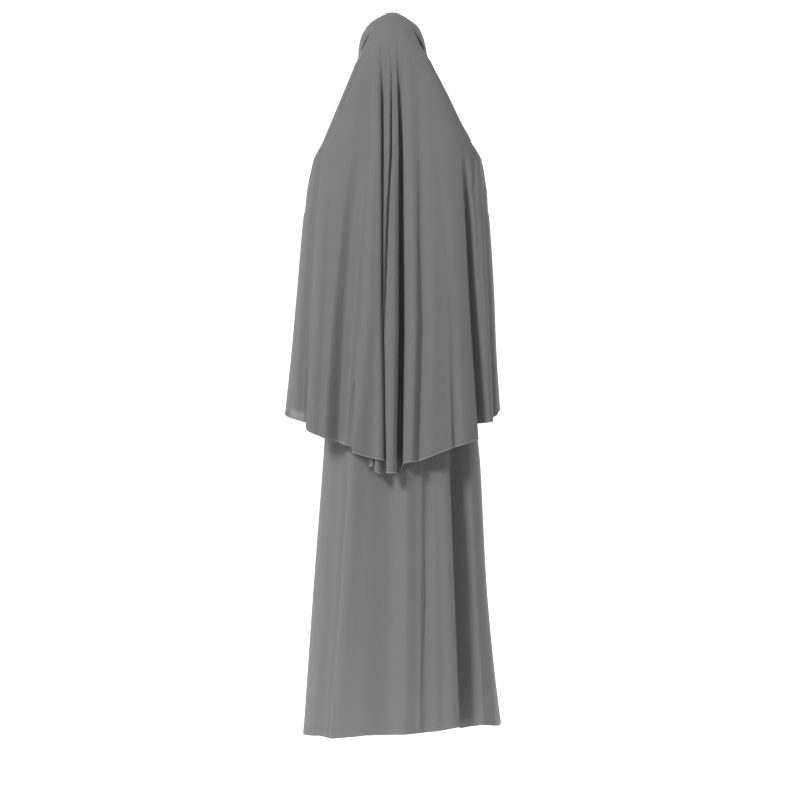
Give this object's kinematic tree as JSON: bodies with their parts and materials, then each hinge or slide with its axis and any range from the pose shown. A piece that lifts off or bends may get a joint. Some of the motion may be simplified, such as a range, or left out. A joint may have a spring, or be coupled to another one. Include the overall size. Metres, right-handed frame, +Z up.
{
  "type": "khimar and abaya set",
  "caption": "Long hooded khimar cape with an open face, over an A-line abaya dress with set-in sleeves, in the hollow form it is worn in.",
  "frame": {"origin": "inside of the hood's crown, where the wearer's head carries the set", "axes": "+Z up, +Y out of the set's back, -Y out of its front, +X towards the wearer's left"},
  "size_m": [0.5056, 0.4048, 1.6928],
  "materials": {
    "khimar_cloth": "matte",
    "abaya_cloth": "matte"
  },
  "bodies": {
    "root": {"khimar_back": "khimar_cloth", "khimar_front": "khimar_cloth", "khimar_face_band": "khimar_cloth", "abaya_back": "abaya_cloth", "abaya_front": "abaya_cloth", "abaya_sleeve_left": "abaya_cloth", "abaya_sleeve_right": "abaya_cloth"}
  },
  "joints": []
}
